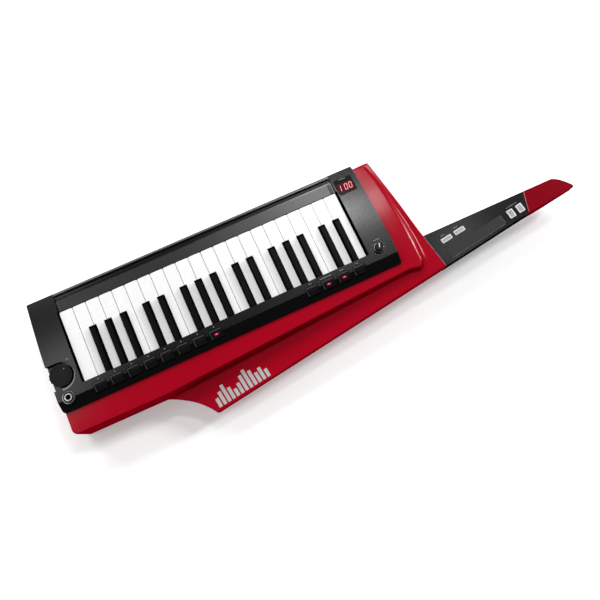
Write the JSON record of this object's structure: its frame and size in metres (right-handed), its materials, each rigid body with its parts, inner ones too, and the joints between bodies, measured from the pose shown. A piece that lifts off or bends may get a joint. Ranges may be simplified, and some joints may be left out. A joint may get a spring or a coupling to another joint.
{
  "type": "strap-on keyboard synthesizer",
  "caption": "Strap-on keyboard synthesizer: slim sprung keys in a black housing on a red lacquered body with a wing, ribbon neck, red head, display, dial and panel buttons.",
  "frame": {"origin": "middle of the footprint, on the surface that the back plate rests on", "axes": "+X towards the neck and the head, +Y towards the key fronts and the strap pegs, +Z out of the panel"},
  "size_m": [0.839, 0.2677, 0.0762],
  "materials": {
    "red_lacquer": "deep red gloss lacquer over wood",
    "black_shell": "satin black moulded shell",
    "black_housing": "satin black housing with fine texture",
    "chassis_metal": "plain pressed aluminium",
    "board_green": "glass fibre board with solder mask",
    "smoked_window": "smoked acrylic over a red LED number",
    "touch_strip": "matte touch film",
    "cell_metal": "wrapped cells",
    "socket_metal": "nickel plate with black plastic inserts",
    "bright_metal": "polished plate",
    "screw_metal": "zinc plate",
    "black_knob": "matte black knob",
    "dark_button": "dark grey soft button",
    "silver_button": "silver lacquered plastic",
    "white_key": "white semi-gloss plastic",
    "black_key": "black satin plastic"
  },
  "bodies": {
    "instrument": {"wood_body": "red_lacquer", "back_cover": "black_shell", "keyboard_housing": "black_housing", "key_chassis": "chassis_metal", "circuit_boards": "board_green", "display_window": "smoked_window", "long_ribbon": "touch_strip", "neck_shell": "black_shell", "short_ribbon": "touch_strip", "head_cap": "red_lacquer", "battery_door": "black_shell", "batteries": "cell_metal", "sockets": "socket_metal", "strap_pegs": "bright_metal", "screws": "screw_metal"},
    "volume_dial": {"volume_dial": "black_knob"},
    "level_knob": {"level_knob": "black_knob"},
    "program_buttons": {"program_buttons": "dark_button"},
    "function_buttons": {"function_buttons": "dark_button"},
    "mode_button_a": {"mode_button_a": "silver_button"},
    "mode_button_b": {"mode_button_b": "silver_button"},
    "octave_button_down": {"octave_button_down": "silver_button"},
    "octave_button_up": {"octave_button_up": "silver_button"},
    "white_key_01": {"white_key_01": "white_key"},
    "white_key_02": {"white_key_02": "white_key"},
    "white_key_03": {"white_key_03": "white_key"},
    "white_key_04": {"white_key_04": "white_key"},
    "white_key_05": {"white_key_05": "white_key"},
    "white_key_06": {"white_key_06": "white_key"},
    "white_key_07": {"white_key_07": "white_key"},
    "white_key_08": {"white_key_08": "white_key"},
    "white_key_09": {"white_key_09": "white_key"},
    "white_key_10": {"white_key_10": "white_key"},
    "white_key_11": {"white_key_11": "white_key"},
    "white_key_12": {"white_key_12": "white_key"},
    "white_key_13": {"white_key_13": "white_key"},
    "white_key_14": {"white_key_14": "white_key"},
    "white_key_15": {"white_key_15": "white_key"},
    "white_key_16": {"white_key_16": "white_key"},
    "white_key_17": {"white_key_17": "white_key"},
    "white_key_18": {"white_key_18": "white_key"},
    "white_key_19": {"white_key_19": "white_key"},
    "white_key_20": {"white_key_20": "white_key"},
    "white_key_21": {"white_key_21": "white_key"},
    "white_key_22": {"white_key_22": "white_key"},
    "black_key_01": {"black_key_01": "black_key"},
    "black_key_02": {"black_key_02": "black_key"},
    "black_key_03": {"black_key_03": "black_key"},
    "black_key_04": {"black_key_04": "black_key"},
    "black_key_05": {"black_key_05": "black_key"},
    "black_key_06": {"black_key_06": "black_key"},
    "black_key_07": {"black_key_07": "black_key"},
    "black_key_08": {"black_key_08": "black_key"},
    "black_key_09": {"black_key_09": "black_key"},
    "black_key_10": {"black_key_10": "black_key"},
    "black_key_11": {"black_key_11": "black_key"},
    "black_key_12": {"black_key_12": "black_key"},
    "black_key_13": {"black_key_13": "black_key"},
    "black_key_14": {"black_key_14": "black_key"},
    "black_key_15": {"black_key_15": "black_key"}
  },
  "joints": [
    {"name": "white_key_01_press", "type": "hinge", "parent": "instrument", "child": "white_key_01", "pos_m": [0.0626, -0.0322, 0.0505], "axis": [-1, 0, 0], "range_deg": [0, 3.5], "stiffness_Nm_per_rad": 0.5, "springref_deg": -3.44},
    {"name": "white_key_02_press", "type": "hinge", "parent": "instrument", "child": "white_key_02", "pos_m": [0.0422, -0.0322, 0.0505], "axis": [-1, 0, 0], "range_deg": [0, 3.5], "stiffness_Nm_per_rad": 0.5, "springref_deg": -3.44},
    {"name": "white_key_03_press", "type": "hinge", "parent": "instrument", "child": "white_key_03", "pos_m": [0.0218, -0.0322, 0.0505], "axis": [-1, 0, 0], "range_deg": [0, 3.5], "stiffness_Nm_per_rad": 0.5, "springref_deg": -3.44},
    {"name": "white_key_04_press", "type": "hinge", "parent": "instrument", "child": "white_key_04", "pos_m": [0.0014, -0.0322, 0.0505], "axis": [-1, 0, 0], "range_deg": [0, 3.5], "stiffness_Nm_per_rad": 0.5, "springref_deg": -3.44},
    {"name": "white_key_05_press", "type": "hinge", "parent": "instrument", "child": "white_key_05", "pos_m": [-0.019, -0.0322, 0.0505], "axis": [-1, 0, 0], "range_deg": [0, 3.5], "stiffness_Nm_per_rad": 0.5, "springref_deg": -3.44},
    {"name": "white_key_06_press", "type": "hinge", "parent": "instrument", "child": "white_key_06", "pos_m": [-0.0394, -0.0322, 0.0505], "axis": [-1, 0, 0], "range_deg": [0, 3.5], "stiffness_Nm_per_rad": 0.5, "springref_deg": -3.44},
    {"name": "white_key_07_press", "type": "hinge", "parent": "instrument", "child": "white_key_07", "pos_m": [-0.0598, -0.0322, 0.0505], "axis": [-1, 0, 0], "range_deg": [0, 3.5], "stiffness_Nm_per_rad": 0.5, "springref_deg": -3.44},
    {"name": "white_key_08_press", "type": "hinge", "parent": "instrument", "child": "white_key_08", "pos_m": [-0.0802, -0.0322, 0.0505], "axis": [-1, 0, 0], "range_deg": [0, 3.5], "stiffness_Nm_per_rad": 0.5, "springref_deg": -3.44},
    {"name": "white_key_09_press", "type": "hinge", "parent": "instrument", "child": "white_key_09", "pos_m": [-0.1006, -0.0322, 0.0505], "axis": [-1, 0, 0], "range_deg": [0, 3.5], "stiffness_Nm_per_rad": 0.5, "springref_deg": -3.44},
    {"name": "white_key_10_press", "type": "hinge", "parent": "instrument", "child": "white_key_10", "pos_m": [-0.121, -0.0322, 0.0505], "axis": [-1, 0, 0], "range_deg": [0, 3.5], "stiffness_Nm_per_rad": 0.5, "springref_deg": -3.44},
    {"name": "white_key_11_press", "type": "hinge", "parent": "instrument", "child": "white_key_11", "pos_m": [-0.1414, -0.0322, 0.0505], "axis": [-1, 0, 0], "range_deg": [0, 3.5], "stiffness_Nm_per_rad": 0.5, "springref_deg": -3.44},
    {"name": "white_key_12_press", "type": "hinge", "parent": "instrument", "child": "white_key_12", "pos_m": [-0.1618, -0.0322, 0.0505], "axis": [-1, 0, 0], "range_deg": [0, 3.5], "stiffness_Nm_per_rad": 0.5, "springref_deg": -3.44},
    {"name": "white_key_13_press", "type": "hinge", "parent": "instrument", "child": "white_key_13", "pos_m": [-0.1822, -0.0322, 0.0505], "axis": [-1, 0, 0], "range_deg": [0, 3.5], "stiffness_Nm_per_rad": 0.5, "springref_deg": -3.44},
    {"name": "white_key_14_press", "type": "hinge", "parent": "instrument", "child": "white_key_14", "pos_m": [-0.2026, -0.0322, 0.0505], "axis": [-1, 0, 0], "range_deg": [0, 3.5], "stiffness_Nm_per_rad": 0.5, "springref_deg": -3.44},
    {"name": "white_key_15_press", "type": "hinge", "parent": "instrument", "child": "white_key_15", "pos_m": [-0.223, -0.0322, 0.0505], "axis": [-1, 0, 0], "range_deg": [0, 3.5], "stiffness_Nm_per_rad": 0.5, "springref_deg": -3.44},
    {"name": "white_key_16_press", "type": "hinge", "parent": "instrument", "child": "white_key_16", "pos_m": [-0.2434, -0.0322, 0.0505], "axis": [-1, 0, 0], "range_deg": [0, 3.5], "stiffness_Nm_per_rad": 0.5, "springref_deg": -3.44},
    {"name": "white_key_17_press", "type": "hinge", "parent": "instrument", "child": "white_key_17", "pos_m": [-0.2638, -0.0322, 0.0505], "axis": [-1, 0, 0], "range_deg": [0, 3.5], "stiffness_Nm_per_rad": 0.5, "springref_deg": -3.44},
    {"name": "white_key_18_press", "type": "hinge", "parent": "instrument", "child": "white_key_18", "pos_m": [-0.2842, -0.0322, 0.0505], "axis": [-1, 0, 0], "range_deg": [0, 3.5], "stiffness_Nm_per_rad": 0.5, "springref_deg": -3.44},
    {"name": "white_key_19_press", "type": "hinge", "parent": "instrument", "child": "white_key_19", "pos_m": [-0.3046, -0.0322, 0.0505], "axis": [-1, 0, 0], "range_deg": [0, 3.5], "stiffness_Nm_per_rad": 0.5, "springref_deg": -3.44},
    {"name": "white_key_20_press", "type": "hinge", "parent": "instrument", "child": "white_key_20", "pos_m": [-0.325, -0.0322, 0.0505], "axis": [-1, 0, 0], "range_deg": [0, 3.5], "stiffness_Nm_per_rad": 0.5, "springref_deg": -3.44},
    {"name": "white_key_21_press", "type": "hinge", "parent": "instrument", "child": "white_key_21", "pos_m": [-0.3454, -0.0322, 0.0505], "axis": [-1, 0, 0], "range_deg": [0, 3.5], "stiffness_Nm_per_rad": 0.5, "springref_deg": -3.44},
    {"name": "white_key_22_press", "type": "hinge", "parent": "instrument", "child": "white_key_22", "pos_m": [-0.3658, -0.0322, 0.0505], "axis": [-1, 0, 0], "range_deg": [0, 3.5], "stiffness_Nm_per_rad": 0.5, "springref_deg": -3.44},
    {"name": "black_key_01_press", "type": "hinge", "parent": "instrument", "child": "black_key_01", "pos_m": [0.05495, -0.0322, 0.0505], "axis": [-1, 0, 0], "range_deg": [0, 3.5], "stiffness_Nm_per_rad": 0.5, "springref_deg": -3.44},
    {"name": "black_key_02_press", "type": "hinge", "parent": "instrument", "child": "black_key_02", "pos_m": [0.03115, -0.0322, 0.0505], "axis": [-1, 0, 0], "range_deg": [0, 3.5], "stiffness_Nm_per_rad": 0.5, "springref_deg": -3.44},
    {"name": "black_key_03_press", "type": "hinge", "parent": "instrument", "child": "black_key_03", "pos_m": [-0.00455, -0.0322, 0.0505], "axis": [-1, 0, 0], "range_deg": [0, 3.5], "stiffness_Nm_per_rad": 0.5, "springref_deg": -3.44},
    {"name": "black_key_04_press", "type": "hinge", "parent": "instrument", "child": "black_key_04", "pos_m": [-0.02835, -0.0322, 0.0505], "axis": [-1, 0, 0], "range_deg": [0, 3.5], "stiffness_Nm_per_rad": 0.5, "springref_deg": -3.44},
    {"name": "black_key_05_press", "type": "hinge", "parent": "instrument", "child": "black_key_05", "pos_m": [-0.05215, -0.0322, 0.0505], "axis": [-1, 0, 0], "range_deg": [0, 3.5], "stiffness_Nm_per_rad": 0.5, "springref_deg": -3.44},
    {"name": "black_key_06_press", "type": "hinge", "parent": "instrument", "child": "black_key_06", "pos_m": [-0.08785, -0.0322, 0.0505], "axis": [-1, 0, 0], "range_deg": [0, 3.5], "stiffness_Nm_per_rad": 0.5, "springref_deg": -3.44},
    {"name": "black_key_07_press", "type": "hinge", "parent": "instrument", "child": "black_key_07", "pos_m": [-0.11165, -0.0322, 0.0505], "axis": [-1, 0, 0], "range_deg": [0, 3.5], "stiffness_Nm_per_rad": 0.5, "springref_deg": -3.44},
    {"name": "black_key_08_press", "type": "hinge", "parent": "instrument", "child": "black_key_08", "pos_m": [-0.14735, -0.0322, 0.0505], "axis": [-1, 0, 0], "range_deg": [0, 3.5], "stiffness_Nm_per_rad": 0.5, "springref_deg": -3.44},
    {"name": "black_key_09_press", "type": "hinge", "parent": "instrument", "child": "black_key_09", "pos_m": [-0.17115, -0.0322, 0.0505], "axis": [-1, 0, 0], "range_deg": [0, 3.5], "stiffness_Nm_per_rad": 0.5, "springref_deg": -3.44},
    {"name": "black_key_10_press", "type": "hinge", "parent": "instrument", "child": "black_key_10", "pos_m": [-0.19495, -0.0322, 0.0505], "axis": [-1, 0, 0], "range_deg": [0, 3.5], "stiffness_Nm_per_rad": 0.5, "springref_deg": -3.44},
    {"name": "black_key_11_press", "type": "hinge", "parent": "instrument", "child": "black_key_11", "pos_m": [-0.23065, -0.0322, 0.0505], "axis": [-1, 0, 0], "range_deg": [0, 3.5], "stiffness_Nm_per_rad": 0.5, "springref_deg": -3.44},
    {"name": "black_key_12_press", "type": "hinge", "parent": "instrument", "child": "black_key_12", "pos_m": [-0.25445, -0.0322, 0.0505], "axis": [-1, 0, 0], "range_deg": [0, 3.5], "stiffness_Nm_per_rad": 0.5, "springref_deg": -3.44},
    {"name": "black_key_13_press", "type": "hinge", "parent": "instrument", "child": "black_key_13", "pos_m": [-0.29015, -0.0322, 0.0505], "axis": [-1, 0, 0], "range_deg": [0, 3.5], "stiffness_Nm_per_rad": 0.5, "springref_deg": -3.44},
    {"name": "black_key_14_press", "type": "hinge", "parent": "instrument", "child": "black_key_14", "pos_m": [-0.31395, -0.0322, 0.0505], "axis": [-1, 0, 0], "range_deg": [0, 3.5], "stiffness_Nm_per_rad": 0.5, "springref_deg": -3.44},
    {"name": "black_key_15_press", "type": "hinge", "parent": "instrument", "child": "black_key_15", "pos_m": [-0.33775, -0.0322, 0.0505], "axis": [-1, 0, 0], "range_deg": [0, 3.5], "stiffness_Nm_per_rad": 0.5, "springref_deg": -3.44},
    {"name": "volume_dial_turn", "type": "hinge", "parent": "instrument", "child": "volume_dial", "pos_m": [-0.4026, 0.0051, 0.0645], "axis": [0, 0, -1], "range_deg": [-135, 135]},
    {"name": "level_knob_turn", "type": "hinge", "parent": "instrument", "child": "level_knob", "pos_m": [0.0936, -0.0139, 0.0715], "axis": [0, 0, -1], "range_deg": [-135, 135]},
    {"name": "program_buttons_press", "type": "slide", "parent": "instrument", "child": "program_buttons", "axis": [0, 0, -1], "range_m": [0, 0.001], "stiffness_N_per_m": 600, "springref_m": -0.0008},
    {"name": "function_buttons_press", "type": "slide", "parent": "instrument", "child": "function_buttons", "axis": [0, 0, -1], "range_m": [0, 0.001], "stiffness_N_per_m": 600, "springref_m": -0.0008},
    {"name": "mode_button_a_press", "type": "slide", "parent": "instrument", "child": "mode_button_a", "axis": [0, 0, -1], "range_m": [0, 0.001], "stiffness_N_per_m": 300, "springref_m": -0.001},
    {"name": "mode_button_b_press", "type": "slide", "parent": "instrument", "child": "mode_button_b", "axis": [0, 0, -1], "range_m": [0, 0.001], "stiffness_N_per_m": 300, "springref_m": -0.001},
    {"name": "octave_button_down_press", "type": "slide", "parent": "instrument", "child": "octave_button_down", "axis": [0, 0, -1], "range_m": [0, 0.001], "stiffness_N_per_m": 300, "springref_m": -0.001},
    {"name": "octave_button_up_press", "type": "slide", "parent": "instrument", "child": "octave_button_up", "axis": [0, 0, -1], "range_m": [0, 0.001], "stiffness_N_per_m": 300, "springref_m": -0.001}
  ]
}
